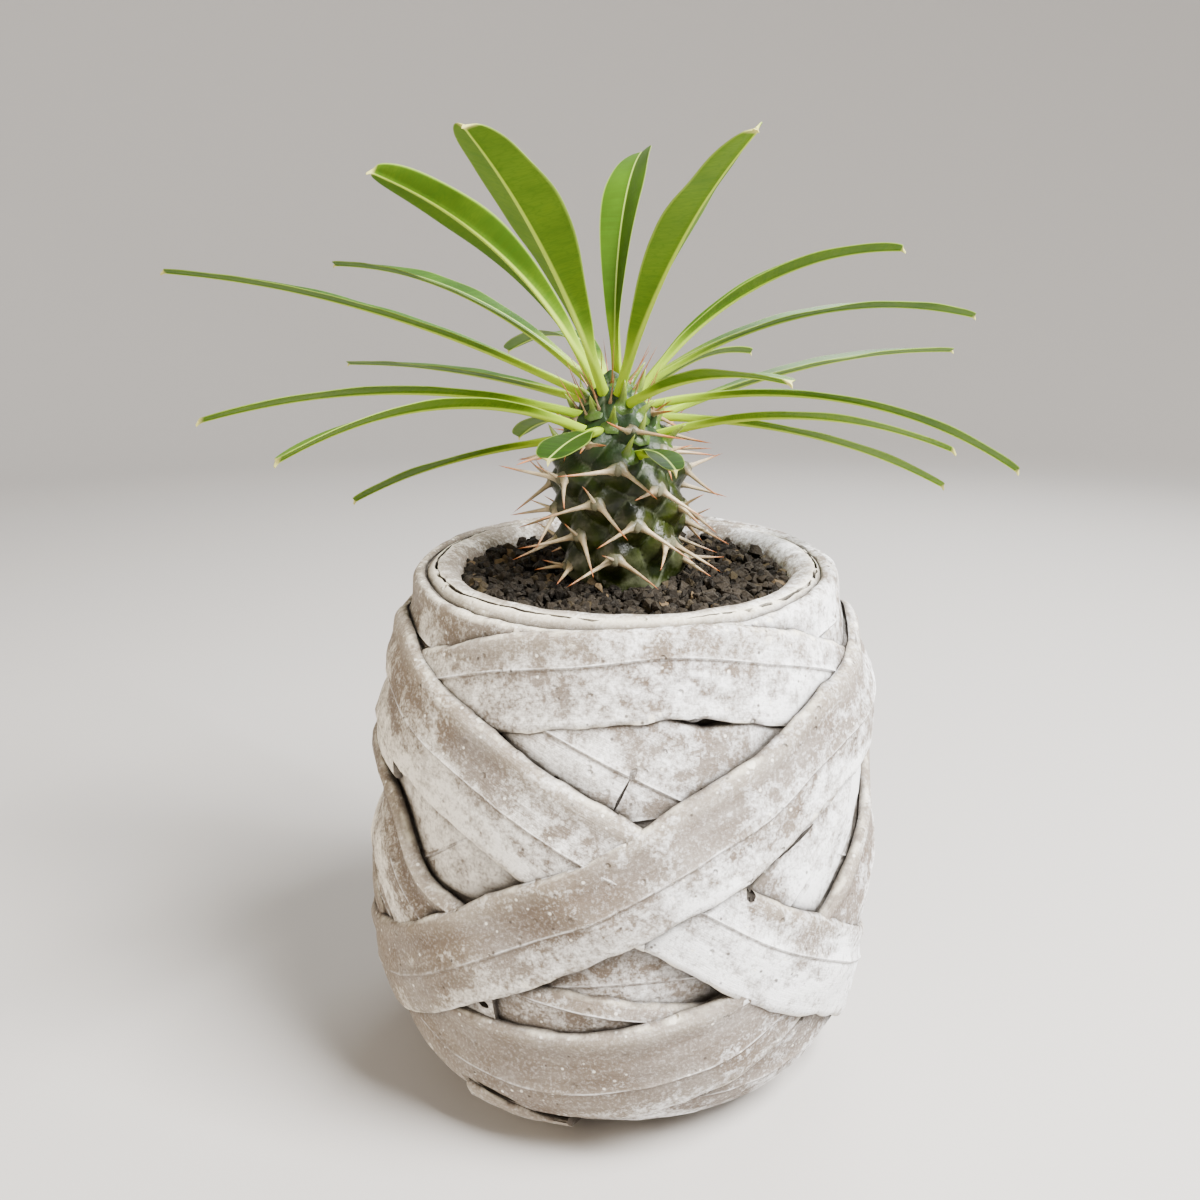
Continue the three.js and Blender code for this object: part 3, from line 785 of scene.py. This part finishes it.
def makeGravel():
    random.seed(7)
    top, gap = gravel["bedTop"], gravel["rimGap"]
    wall = [(r - gap, h + (gap if h == 10 else 0)) for r, h in pot["cavity"][1:8]]
    bedMesh = turnedMesh("bed", [(0, 10 + gap)] + wall + [(40, top), (0, top)], 96)
    form = bmesh.new()
    form.from_mesh(bedMesh)
    sizes, tones = [len(form.verts)], [0.1]
    kinds = [makeGrainKind() for _ in range(gravel["kinds"])]
    for count, height, half in gravel["layers"]:
        for _ in range(count):
            size = half * random.uniform(0.7, 1.25) * (1.25 if random.random() < 0.06 else 1)
            reach = math.sqrt(random.uniform(gravel["trunkRadius"] ** 2, gravel["reach"] ** 2))
            reach = min(reach, gravel["reach"] - size * 0.8)
            spot = outward(random.uniform(0, 360)) * reach
            spot.z = height + random.uniform(-0.5, 0.4)
            turn = Vector([random.gauss(0, 1) for _ in range(3)]).normalized()
            pose = Matrix.Translation(spot * mm) @ Matrix.Rotation(random.uniform(0, 6.3), 4, turn)
            start = len(form.verts)
            addCopy(form, random.choice(kinds), pose @ Matrix.Scale(size * mm, 4))
            sizes.append(len(form.verts) - start)
            tones.append(random.random())
    mesh = makeMesh("gravel", form)
    for kind in kinds + [bedMesh]:
        bpy.data.meshes.remove(kind)
    setAttribute(mesh, "grainTone", np.repeat(tones, sizes))
    setPlaces(mesh, tipRim(getPlaces(mesh)))
    finishPiece(addObject("gravel", mesh), makeGravelMaterial(), "gravel", "soil")


def makeGravelMaterial():
    material, shader, place = startMaterial("gravel")
    tone = readValue("grainTone")
    fleck = addNoise(place, 1500, 3, 0.7)
    colour = layCoats(mix(remap(tone, 0, 0.6), *gravel["base"]), gravel, [
        (remap(tone, 0.86, 0.94, (0, 0.8)), "ochre"),
        (remap(tone, 0.955, 0.975, (0, 0.85)), "tan"),
        (remap(fleck, 0.5, 0.75, (0, 0.3)), "fleck"),
    ])
    pores = addCells(place, 1700)["Distance"]
    finishShader(shader, colour, 0.95, 0.15, (fleck, 0.35, 0.6), (pores, 0.25, 0.6))
    return material


trunk = {
    "heights": [106, 128, 133, 140, 150, 157, 161, 165, 169, 173, 176, 178.4],
    "radii": [12.8, 13.3, 13, 13.4, 14.2, 13.8, 12.2, 10.4, 8.6, 6.3, 3.8, 0.5],
    "lean": -0.07,  # sideways drift for each millimetre of height
    "leanFrom": 128,
    "foot": 118,
    "crown": 178,
    "steps": 180,
    "rings": 124,
    "moundCount": 36,
    "moundTurn": 300,
    "moundStart": 132,
    "moundPitch": 1.04,
    "moundHeight": 3.0,
    "moundReach": 6.6,
    "roughness": (0.35, 0.1),  # broad and fine
    "seamDepth": 0.35,
    "base": ((0.004, 0.007, 0.001), (0.022, 0.031, 0.002)),
    "neck": (0.005, 0.021, 0.002),
    "bark": (0.10, 0.085, 0.045),
    "wax": (0.15, 0.18, 0.11),
    # Dust near the soil, in a drab colour.
    "drab": (0.12, 0.125, 0.085),
    "seam": (0.18, 0.20, 0.13),
}
trunkRadius = smoothCurve(trunk["heights"], trunk["radii"])
mounds = [(trunk["moundTurn"] + k * goldenAngle, trunk["moundStart"] + k * trunk["moundPitch"])
          for k in range(trunk["moundCount"])]
moundSizes = [min(1, max(0.55, (trunk["crown"] - z) / 20)) for _, z in mounds]


def moundDistances(angle, z):  # from every mound, as shares of its reach
    result = []
    for (moundAngle, moundZ), size in zip(mounds, moundSizes):
        away = np.hypot(np.radians(wrap(angle - moundAngle)) * trunkRadius(z), (z - moundZ) * 1.05)
        result.append(away / (trunk["moundReach"] * size))
    return np.array(result)


def trunkRelief(distances):
    sizes = np.array(moundSizes)[:, None]
    d = np.clip(distances, 0, 1)
    swell = np.cos(d * math.pi / 2) ** 1.4 + 0.32 * hump(d, 0.2)
    return (trunk["moundHeight"] * sizes * swell).max(0)


def axisAt(z):
    return Vector((trunk["lean"] * (z - trunk["leanFrom"]), 0, z))


def trunkSurface(angle, z):
    relief = trunkRelief(moundDistances(np.array([float(angle)]), np.array([float(z)])))[0]
    return axisAt(z) + outward(angle) * (float(trunkRadius(z)) + float(relief))


def makeTrunk():
    foot, top = trunk["foot"], trunk["heights"][-1]
    rows = [(float(trunkRadius(z)), z) for z in np.linspace(foot, top, trunk["rings"])]
    mesh = turnedMesh("stem", [(0, foot)] + rows + [(0, top + 0.2)], trunk["steps"])
    places = getPlaces(mesh)
    angle, z = anglesOf(places), places[:, 2]
    radius = radiiOf(places)
    distances = moundDistances(angle, z)
    ordered = np.sort(distances, 0)
    relief = trunkRelief(distances) * fadeIn(z, 126, 130) * fadeIn(-z, 0.2 - top, -176)
    nearest = distances.argmin(0)
    broad, fine = trunk["roughness"]
    rough = np.array([broad * noise.noise(Vector(p) / 4) + fine * noise.noise(Vector(p) / 1.4)
                      for p in places])
    seam = np.clip(1 - (ordered[1] - ordered[0]) / 0.1, 0, 1) * (ordered[0] > 0.55)
    radius = np.where(radius > 0.1, radius + relief + rough - trunk["seamDepth"] * seam, radius)
    turn = np.radians(angle)
    shift = trunk["lean"] * np.maximum(z - trunk["leanFrom"], 0)
    setPlaces(mesh, np.stack([radius * np.sin(turn) + shift, -radius * np.cos(turn), z], 1))
    setAttribute(mesh, "seam", seam)
    setAttribute(mesh, "mound", np.clip(relief / trunk["moundHeight"], 0, 1))
    setAttribute(mesh, "wax", np.array([scatter(k, 6) for k in nearest]) * fadeIn(ordered[0], 0.3, 0.9))
    shadeSmooth(mesh, 60)
    finishPiece(addObject("stem", mesh), makeSkin(), "stem", "trunk")


def makeSkin():
    material, shader, place = startMaterial("stemSkin")
    height = splitUp(place)[2]
    cloud = addNoise(place, 150, 4, 0.6)
    fine = addNoise(place, 900, 4, 0.65)
    wax = times(remap(readValue("wax"), 0.45, 0.8), remap(addNoise(place, 260, 4, 0.7, 0.5), 0.50, 0.64),
                remap(height, 0.150, 0.165, (1, 0.2)))
    colour = layCoats(mix(remap(cloud, 0.35, 0.65), *trunk["base"]), trunk, [
        (remap(height, 0.150, 0.165, (0, 0.9)), "neck"),
        (times(remap(readValue("mound"), 0.45, 0.95), remap(fine, 0.35, 0.6), 0.28), "bark"),
        (times(wax, 0.45), "wax"),
        # Dust near the soil, in a drab colour.
        (times(remap(height, 0.130, 0.139, (1, 0)), remap(cloud, 0.45, 0.6), 0.45), "drab"),
        (times(readValue("seam"), remap(addNoise(place, 330), 0.4, 0.6), 0.4), "seam"),
    ])
    dull = plus(remap(wax, 0, 1, (0.28, 0.6)), remap(height, 0.150, 0.165, (0, 0.22)))
    finishShader(shader, colour, dull, 0.26, (cloud, 0.8, 0.4), (fine, 0.3, 0.5))
    return material


leaves = {
    "columns": 20,
    "rows": 84,
    "petioleHalf": 1.12,
    "petioleEnd": (0.03, 0.22),  # where the round stalk starts and ends turning into the blade
    "petioleRoot": 5,  # length of the stalk that is sunk into the trunk
    "thickness": 0.6,
    "foldAtFoot": 28,
    "foldAtTip": 11,
    "ribAtFoot": 1.7,
    "ribAtTip": 0.8,
    "hook": 1.5,
    "seatOut": 2.4,
    "wave": 0.35,
    "lineSteps": 192,
    # angle, seat height, rise, droop, swing, length, width, roll
    "table": [
        (-98, 174, 25, 21, 0, 108, 12.5, 4),
        (-135, 175.5, 30, 30, 8, 104, 12, 4),
        (-65, 177, 62, 43, 1, 70, 11.5, 36),
        (-23, 176, 51, 25, 1, 82, 16.5, -5),
        (-172, 174.5, 22, 42, 24, 91, 12, 0),
        (-140, 171, 6, 9, 10, 104, 11.5, 4),
        (-62, 169.5, 16, 29, 0, 87, 12, 8),
        (-47, 166.5, 22, 46, -4, 79, 12, 14),
        (-107, 162, -9, 19, 0, 61, 10, 4),
        (-22, 165.8, 2, 17, 1, 27, 11, 0),
        (-153, 163.5, 7, 35, 0, 47, 10, 0),
        (167, 176.5, 104, 90, 0, 69, 12.5, -24),
        (16, 175.5, 47, 25, 3, 88, 14.5, 26),
        (96, 175, 53, 55, 4, 74, 11, -5),
        (123, 174.5, 26, 38, -11, 111, 12.5, -4),
        (147, 170.5, 24, 32, -6, 59, 7, -14),
        (32, 172.5, 22, 27, 1, 56, 11, -6),
        (119, 167.2, 17, 20, 0, 99, 11.5, -4),
        (92, 171, 11, 45, 0, 95, 12.5, -5),
        (72, 164.8, 17, 38, 0, 68, 10.5, -10),
        (98, 167.8, -2, 26, 0, 77, 11.5, -5),
        (25, 161, 14, 43, -1, 17, 8, 0),
    ],
    "top": ((0.010, 0.041, 0.001), (0.025, 0.080, 0.001)),
    "under": ((0.043, 0.101, 0.0), (0.073, 0.147, 0.0)),
    "fresh": (0.20, 0.34, 0.01),
    "small": (0.011, 0.030, 0.001),
    "net": (0.030, 0.095, 0.002),
    "ladder": (0.04, 0.12, 0.002),
    "rib": (0.42, 0.56, 0.05),
    "topRib": (0.38, 0.52, 0.10),
    "rim": (0.36, 0.48, 0.08),
    "stalk": (0.29, 0.44, 0.012),
    "tip": (0.52, 0.50, 0.15),
}


def centreLine(leaf, t):  # middle points, directions along the leaf and to its side, at shares t
    angle, seat, rise, droop, swing, length = leaf[:6]
    steps = leaves["lineSteps"]
    fine = np.linspace(0, 1, steps + 1)
    tilt = np.radians(rise - droop * np.maximum(fine - 1 / 48, 0))  # it droops from just past the seat
    heading = np.radians(angle + swing * fine)
    along = np.stack([np.sin(heading) * np.cos(tilt), -np.cos(heading) * np.cos(tilt), np.sin(tilt)], 1)
    start = axisAt(seat) + outward(angle) * (float(trunkRadius(seat)) + leaves["seatOut"])
    moved = np.cumsum((along[1:] + along[:-1]) / 2 * length / steps, 0)
    line = np.array(start) + np.vstack([np.zeros(3), moved])
    inside = np.clip(t, 0, 1)
    points, ways = (np.stack([np.interp(inside, fine, part[:, i]) for i in range(3)], 1)
                    for part in (line, along))
    turned = np.interp(inside, fine, heading)
    side = np.stack([np.cos(turned), np.sin(turned), np.zeros(len(t))], 1)
    points += ways * (np.minimum(t, 0) * length)[:, None]
    return points, ways, side


def halfWidth(leaf, t):
    inside = np.clip(t, 0, 1)
    swell = np.sin(math.pi * inside ** 1.8) ** blend(0.92, 0.39, fadeIn(inside, 0.6, 0.95))
    return leaves["petioleHalf"] * (1 - 0.55 * inside) + (leaf[6] / 2 - 0.7) * swell


def makeLeaf(index, leaf, material):
    length = leaf[5]
    form = bmesh.new()
    bmesh.ops.create_grid(form, x_segments=leaves["columns"], y_segments=leaves["rows"], size=1)
    bmesh.ops.solidify(form, geom=form.faces[:], thickness=0.1)
    bmesh.ops.recalc_face_normals(form, faces=form.faces)
    mesh = makeMesh(f"leaf{index + 1:02d}", form)
    flat = getVectors(mesh.vertices, "co")
    lower = flat[:, 2] < (flat[:, 2].max() + flat[:, 2].min()) / 2
    s = np.sign(flat[:, 0]) * np.abs(flat[:, 0]) ** 1.25  # columns crowd towards the midrib
    v = (flat[:, 1] + 1) / 2
    first, last = -leaves["petioleRoot"] / length, 1 + leaves["hook"] / length
    t = first + (last - first) * (1 - (1 - v) ** 1.3)
    points, along, side = centreLine(leaf, t)
    up = np.cross(along, side)
    roll = math.radians(leaf[7])
    across = side * math.cos(roll) + up * math.sin(roll)
    normal = up * math.cos(roll) - side * math.sin(roll)
    half = halfWidth(leaf, t)
    past = np.maximum(t - 1, 0) * length / leaves["hook"]
    half = half * (1 - 0.9 * past)
    inside = np.clip(t, 0, 1)
    upright = 0.32 + 0.68 * fadeIn(leaf[2], 20, 50)  # the level leaves lie open
    fold = np.radians(blend(leaves["foldAtFoot"], leaves["foldAtTip"], inside)) * upright
    vee = np.sqrt(s * s + 0.01) - 0.1
    drift = np.array([noise.noise(Vector((a * length / 13, index * 5.3 + np.sign(b), 0)))
                      for a, b in zip(t, s)])
    bladeUp = half * np.sin(fold) * (1.38 * vee - 0.28 * vee * vee)
    bladeUp += leaves["wave"] * drift * s * s * half / 5
    ribDepth = blend(leaves["ribAtFoot"], leaves["ribAtTip"], np.minimum(1, inside * 1.4)) - 0.4
    ribHalf = blend(1.15, 0.42, np.minimum(1, inside * 1.2))
    bladeX = s * half * np.cos(fold)
    thick = leaves["thickness"] * (1 - 0.75 * np.abs(s) ** 3) + ribDepth * hump(bladeX, ribHalf)
    thick = thick * (1 - 0.5 * past)
    stalkShare = 1 - fadeIn(t, *leaves["petioleEnd"])
    swollen = leaves["petioleHalf"] * 1.12 * (1 + 0.35 * np.clip(t / first, 0, 1))
    stalkX = swollen * np.sin(s * math.pi / 2)
    stalkTop = 0.30 * swollen * np.cos(s * math.pi / 2)
    stalkLow = -1.35 * swollen * np.cos(s * math.pi / 2) - 0.05
    x = blend(bladeX, stalkX, stalkShare)
    y = np.where(lower, blend(bladeUp - thick, stalkLow, stalkShare),
                 blend(bladeUp, stalkTop, stalkShare))
    hooked = along - 0.9 * up
    hooked /= np.linalg.norm(hooked, axis=1)[:, None]
    points = points + hooked * (np.maximum(t - 1, 0) * length)[:, None]
    setPlaces(mesh, points + across * x[:, None] + normal * y[:, None])
    mesh.flip_normals()
    vert = getNumbers(mesh.loops, "vertex_index")
    setMap(mesh, "leafMap", (s * half / 10)[vert], (t * length / 10)[vert])
    setMap(mesh, "leafShare", s[vert], t[vert])
    setAttribute(mesh, "under", lower.astype(float))
    setAttribute(mesh, "leafTone", np.full(len(flat), scatter(index, 5) if length > 40 else -1))
    shadeSmooth(mesh, 70)
    finishPiece(addObject(mesh.name, mesh), material, "leaf", f"leaf_{index + 1:02d}")


def makeBladeMaterial():
    material, shader, place = startMaterial("leafBlade")
    laid, across, _ = readMap("leafMap")
    _, aside, along = readMap("leafShare")
    under, tone = readValue("under"), readValue("leafTone")
    away = distance(across)  # centimetres from the midrib
    cloud = addNoise(place, 90, 3, 0.55)
    net = addCells(stretch(laid, (3.0, 14, 1)), 1.0, "DISTANCE_TO_EDGE")["Distance"]
    ladder = addNoise(stretch(laid, (0.9, 11, 1)), 1.0, 2, 0.5, 0.6)
    top, low = (mix(remap(cloud, 0.35, 0.65), *leaves[side]) for side in ("top", "under"))
    rib = reckon("DIVIDE", away, remap(along, 0.0, 0.95, (0.10, 0.028)))
    colour = layCoats(mix(under, top, low), leaves, [
        (times(tone, 0.22), "fresh"),
        (remap(tone, -1, 0, (0.8, 0)), "small"),
        (times(remap(net, 0.02, 0.10, (1, 0)), under, 0.30), "net"),
        (times(remap(ladder, 0.48, 0.7), 0.32), "ladder"),
        (times(remap(rib, 0.75, 1.15, (1, 0)), under, 0.85), "rib"),
        (times(remap(away, 0.012, 0.034, (1, 0)), reckon("SUBTRACT", 1.0, under), 0.85), "topRib"),
        (times(remap(distance(aside), 0.93, 0.985), 0.4), "rim"),
        (times(remap(along, 0.06, 0.24, (1, 0)), 0.9), "stalk"),
        (remap(along, 0.992, 1.004), "tip"),
    ])
    finishShader(shader, colour, remap(under, 0, 1, (0.48, 0.66)), 0.16, (ladder, 0.12, 0.2))
    return material


spines = {
    "length": 14.2,
    "radius": 0.74,
    "thirdShare": 0.7,  # this share of the mounds carries a short third spine between the pair
    "thirdLength": 0.55,
    "rootDepth": 1.4,
    "apart": 1.05,  # how far each spine of a pair stands from the middle of its mound
    "clearance": 0.9,
    "lowestTip": 130.2,
    "sides": 7,
    "shape": [  # height and half width, as shares
        (-0.09, 2.5), (0, 2.2), (0.05, 1.55), (0.11, 1.05), (0.20, 0.80), (0.42, 0.60), (0.66, 0.40),
        (0.87, 0.18)],
    "bends": [-0.09, -0.04, 0.03, 0.08],
    "turnDown": (0, 0.35, 0.7, 1.1),  # steeper and steeper, until a spine keeps clear of the leaves
    "pad": (0.9, 1.3, 0.5),  # half sizes of the woolly pad between the spines
    "bristles": (44, 168, 177, 8.5, 0.24),  # how many, from and to which height, length and radius
    "buds": (30, 160, 176, 6, 1.3),  # the same for the short green leaf bases that crowd the crown
    "base": ((0.30, 0.215, 0.115), (0.56, 0.455, 0.28)),
    "foot": (0.10, 0.10, 0.055),
    "ripe": (0.42, 0.12, 0.025),
    "young": (0.20, 0.062, 0.014),
    "wool": (0.11, 0.105, 0.06),
    "fleck": (0.16, 0.12, 0.08),
    "bud": ((0.035, 0.075, 0.004), (0.22, 0.30, 0.03)),
}
thornLong, thornWide = 1000, 60  # it is turned at this size and scaled when it is planted


def makeThorn(bend):  # one unit long, standing on +Z and leaning over towards +X
    shape = [(r * thornWide, z * thornLong) for z, r in spines["shape"]]
    mesh = turnedMesh("thorn", [(0, shape[0][1])] + shape + [(0, thornLong)], spines["sides"])
    places = getPlaces(mesh) / thornLong
    places[:, 0] += bend * np.maximum(places[:, 2], 0) ** 2
    mesh.vertices.foreach_set("co", places.ravel())
    mesh.update()
    return mesh, places[:, 2]


def makePad():
    form = bmesh.new()
    bmesh.ops.create_icosphere(form, subdivisions=2, radius=1)
    for vert in form.verts:
        vert.co *= 1 + 0.3 * noise.noise(vert.co * 2.3)
    return makeMesh("pad", form)


def leafClearance(points, lines):  # the least gap between some points and the leaves
    return min((np.linalg.norm(points[:, None] - line[None], axis=2) - half[None]).min()
               for line, half in lines)


def makeSpines():
    form = bmesh.new()
    thorns = [makeThorn(bend) for bend in spines["bends"]]
    pad = makePad()
    marks = []  # for each vertex its share of the spine's length, and whether it is wool or a bud
    shares = np.linspace(0, 1, 41)
    lines = [(centreLine(leaf, shares)[0], halfWidth(leaf, shares)) for leaf in leaves["table"]]
    upwards = Vector((0, 0, 1))

    def standUp(foot, way):
        return Matrix.Translation(foot * mm) @ upwards.rotation_difference(way).to_matrix().to_4x4()

    def addThorn(k, foot, way, length, radius, bud=0):
        mesh, heights = thorns[k % len(thorns)]
        pose = standUp(foot, way) @ Matrix.Rotation(scatter(k, 11) * 6.28, 4, "Z")
        wide = radius * thornLong / thornWide
        addCopy(form, mesh, pose @ Matrix.Diagonal((wide * mm, wide * mm, length * mm, 1)))
        marks.extend((height, 0, bud) for height in heights)

    def addIfClear(k, foot, way, length, radius, start, gap, bud=0):
        spread = np.array([foot + way * length * i / 8 for i in range(start, 9)])
        if leafClearance(spread, lines) > gap:
            addThorn(k, foot, way, length, radius, bud)

    for k, ((angle, z), size) in enumerate(zip(mounds, moundSizes)):
        middle, normal, tangent = trunkSurface(angle, z), outward(angle), outward(angle + 90)
        drop = blend(-0.7, 0.35, k / trunk["moundCount"])
        for sign in (-1, 1, 0):
            third = sign == 0
            if third and scatter(k, 4) > spines["thirdShare"]:
                continue
            chance = scatter(k, sign + 2)
            steep = 0.35 if (scatter(k, 7) > 0.5) == (sign > 0) else -0.1
            way = normal * 0.8 + tangent * (sign * (0.75 + 0.3 * chance))
            length = spines["length"] * blend(0.8, 1, size) * (0.85 + 0.3 * chance)
            if third:
                way += tangent * (scatter(k, 8) - 0.5)
                length *= spines["thirdLength"]
            foot = middle + tangent * (sign * spines["apart"] * size) - normal * spines["rootDepth"]
            for turnDown in spines["turnDown"]:
                way.z = (0.45 if third else drop - steep) + 0.5 * (chance - 0.5) - turnDown
                aim = way.normalized()
                tip = foot + aim * length
                tip.z = max(tip.z, spines["lowestTip"] + chance)
                spread = np.array([foot.lerp(tip, i / 8) for i in range(2, 9)])
                if leafClearance(spread, lines) > spines["clearance"]:
                    addThorn(k * 2 + (sign > 0), foot, (tip - foot).normalized(), (tip - foot).length,
                             spines["radius"] * blend(0.7, 1, size) * (0.75 if third else 1))
                    break
        pose = standUp(middle - normal * 0.3, normal)
        addCopy(form, pad, pose @ Matrix.Diagonal((*(part * size * mm for part in spines["pad"]), 1)))
        marks.extend([(0, 1, 0)] * len(pad.vertices))
    count, low, high, length, radius = spines["bristles"]
    for k in range(count):
        angle, z = k * goldenAngle + 40, blend(low, high, k / count)
        way = outward(angle + 40 * (scatter(k, 2) - 0.5)) * blend(0.7, 0.25, scatter(k, 3)) + upwards
        grown = length * (1 + 0.5 * scatter(k, 9))
        addIfClear(100 + k, trunkSurface(angle, z), way.normalized(), grown, radius, 2, 0.2)
    count, low, high, length, radius = spines["buds"]
    for k in range(count):
        angle, z = k * goldenAngle + 10, blend(low, high, k / count)
        way = (outward(angle) * 0.7 + upwards * 0.9).normalized()
        grown = length * (0.7 + 0.6 * scatter(k, 12))
        foot = trunkSurface(angle, z) - outward(angle) * 0.6
        addIfClear(200 + k, foot, way, grown, radius, 1, radius * 0.8, 1)
    mesh = makeMesh("spines", form)
    for kind in [thorn[0] for thorn in thorns] + [pad]:
        bpy.data.meshes.remove(kind)
    for name, values in zip(("reach", "wool", "bud"), zip(*marks)):
        setAttribute(mesh, name, values)
    shadeSmooth(mesh, 80)
    finishPiece(addObject("spines", mesh), makeSpineMaterial(), "stem", "trunk")


def makeSpineMaterial():
    material, shader, place = startMaterial("spine")
    reach, wool = readValue("reach"), readValue("wool")
    height = splitUp(place)[2]
    fine = addNoise(place, 1600, 3, 0.6)
    cloud = addNoise(place, 140)
    colour = layCoats(mix(remap(cloud, 0.35, 0.65), *spines["base"]), spines, [
        (remap(reach, 0.0, 0.17, (1, 0)), "foot"),
        (remap(plus(reach, remap(height, 0.154, 0.172, (0.0, 0.4))), 0.56, 0.92), "ripe"),
        (remap(height, 0.165, 0.176, (0, 0.85)), "young"),
        (wool, "wool"),
        (remap(fine, 0.5, 0.75, (0, 0.35)), "fleck"),
    ])
    bud = mix(remap(reach, 0.1, 0.9), *spines["bud"])
    colour = mix(readValue("bud"), colour, bud)
    finishShader(shader, colour, remap(wool, 0, 1, (0.42, 0.95)), 0.5, (fine, 0.25, 0.6))
    return material


print("studio")
makeStudio()
print("pot")
makePot()
print("gravel")
makeGravel()
print("trunk")
makeTrunk()
print("leaves")
blade = makeBladeMaterial()
for i, leaf in enumerate(leaves["table"]):
    makeLeaf(i, leaf, blade)
print("spines")
makeSpines()
print("done")
